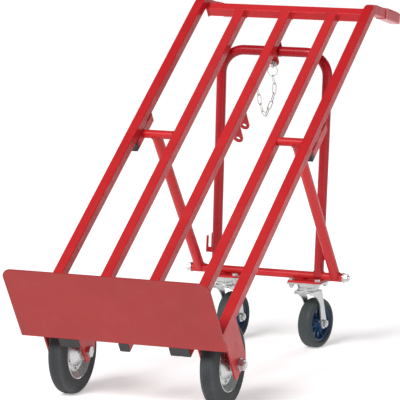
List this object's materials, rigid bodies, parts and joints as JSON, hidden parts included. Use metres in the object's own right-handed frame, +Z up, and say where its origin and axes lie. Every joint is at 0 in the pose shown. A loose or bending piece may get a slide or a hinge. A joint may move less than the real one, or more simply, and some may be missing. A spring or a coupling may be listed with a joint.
{
  "type": "three-position sack truck",
  "caption": "Red tubular sack truck with a toe plate, standing inclined on front wheels and a fold-out swivel castor frame held by a lock pin.",
  "frame": {"origin": "on the floor, under the centre of the truck as it stands inclined on four wheels", "axes": "+Z up, +Y from the toe plate towards the handles, +X to the right when looking along +Y"},
  "size_m": [0.505, 1.3168, 0.8651],
  "materials": {
    "red_paint": "semi-gloss powder coat",
    "zinc_plate": "bright zinc plate",
    "black_rubber": "solid rubber, dull",
    "grey_rubber": "elastic rubber, dull",
    "blue_plastic": "moulded, slight gloss",
    "black_plastic": "moulded",
    "red_grip": "dipped vinyl, soft sheen"
  },
  "bodies": {
    "ladder": {"side_rail_left": "red_paint", "side_rail_right": "red_paint", "inner_rail_left": "red_paint", "inner_rail_centre": "red_paint", "inner_rail_right": "red_paint", "crossbar": "red_paint", "toe_plate": "red_paint", "handle_grip_left": "red_grip", "handle_grip_right": "red_grip", "bracket_spacer_tubes": "red_paint", "rail_end_plugs": "black_plastic", "wheel_bracket_inner_left": "red_paint", "wheel_bracket_inner_right": "red_paint", "wheel_bracket_outer_left": "red_paint", "wheel_bracket_outer_right": "red_paint", "front_axle_left": "zinc_plate", "front_axle_right": "zinc_plate", "front_axle_nuts": "zinc_plate", "front_axle_spacers": "zinc_plate", "strut_housing_left": "red_paint", "strut_housing_right": "red_paint", "strut_housing_plugs": "black_plastic", "strut_pivot_pins": "zinc_plate", "lock_lugs": "red_paint", "storage_lugs": "red_paint", "chain_eye": "zinc_plate"},
    "lock_pin": {"lock_pin": "zinc_plate", "lock_ring": "zinc_plate", "lock_chain": "zinc_plate"},
    "castor_frame": {"castor_frame_tube": "red_paint", "castor_frame_bar": "red_paint", "castor_frame_hooks": "red_paint", "castor_frame_pivot_bolts": "zinc_plate", "castor_frame_pivot_nuts": "zinc_plate", "castor_mount_plates": "red_paint", "castor_top_plates": "zinc_plate", "castor_king_bolts": "zinc_plate", "castor_bolts": "zinc_plate", "castor_nuts": "zinc_plate"},
    "front_wheel_left": {"front_tyre_left": "black_rubber", "front_rim_left": "zinc_plate", "front_hub_left": "zinc_plate", "front_roller_bearing_left": "zinc_plate"},
    "strut_left": {"strut_tube_left": "red_paint", "strut_sleeves_left": "red_paint"},
    "castor_left": {"castor_fork_left": "zinc_plate", "castor_axle_left": "zinc_plate"},
    "castor_wheel_left": {"castor_tyre_left": "grey_rubber", "castor_wheel_centre_left": "blue_plastic"},
    "front_wheel_right": {"front_tyre_right": "black_rubber", "front_rim_right": "zinc_plate", "front_hub_right": "zinc_plate", "front_roller_bearing_right": "zinc_plate"},
    "strut_right": {"strut_tube_right": "red_paint", "strut_sleeves_right": "red_paint"},
    "castor_right": {"castor_fork_right": "zinc_plate", "castor_axle_right": "zinc_plate"},
    "castor_wheel_right": {"castor_tyre_right": "grey_rubber", "castor_wheel_centre_right": "blue_plastic"}
  },
  "joints": [
    {"name": "front_wheel_left_spin", "type": "hinge", "parent": "ladder", "child": "front_wheel_left", "pos_m": [-0.18825, -0.40482, 0.1], "axis": [1, 0, 0], "continuous": true},
    {"name": "strut_left_fold", "type": "hinge", "parent": "ladder", "child": "strut_left", "pos_m": [-0.183, 0.06872, 0.55784], "axis": [-1, 0, 0], "range_deg": [0, 0.4]},
    {"name": "front_wheel_right_spin", "type": "hinge", "parent": "ladder", "child": "front_wheel_right", "pos_m": [0.18825, -0.40482, 0.1], "axis": [1, 0, 0], "continuous": true},
    {"name": "strut_right_fold", "type": "hinge", "parent": "ladder", "child": "strut_right", "pos_m": [0.183, 0.06872, 0.55784], "axis": [-1, 0, 0], "range_deg": [0, 0.4]},
    {"name": "castor_frame_fold", "type": "hinge", "parent": "strut_left", "child": "castor_frame", "pos_m": [0, 0.36187, 0.18804], "axis": [-1, 0, 0], "range_deg": [-0.5, 0]},
    {"name": "castor_left_swivel", "type": "hinge", "parent": "castor_frame", "child": "castor_left", "pos_m": [-0.1104, 0.36187, 0.15], "axis": [0, 0, 1], "continuous": true},
    {"name": "castor_wheel_left_spin", "type": "hinge", "parent": "castor_left", "child": "castor_wheel_left", "pos_m": [-0.10632, 0.40066, 0.0625], "axis": [0.9945, -0.1045, 0], "continuous": true},
    {"name": "castor_right_swivel", "type": "hinge", "parent": "castor_frame", "child": "castor_right", "pos_m": [0.1104, 0.36187, 0.15], "axis": [0, 0, 1], "continuous": true},
    {"name": "castor_wheel_right_spin", "type": "hinge", "parent": "castor_right", "child": "castor_wheel_right", "pos_m": [0.11784, 0.40015, 0.0625], "axis": [0.9816, -0.1908, 0], "continuous": true},
    {"name": "lock_pin_pull", "type": "slide", "parent": "ladder", "child": "lock_pin", "axis": [0, -0.8271, -0.5621], "range_m": [0, 0.065]}
  ],
  "couplings": [
    {"joint": "strut_right_fold", "follows": "strut_left_fold", "ratio": 1},
    {"joint": "castor_frame_fold", "follows": "strut_left_fold", "ratio": -1}
  ]
}
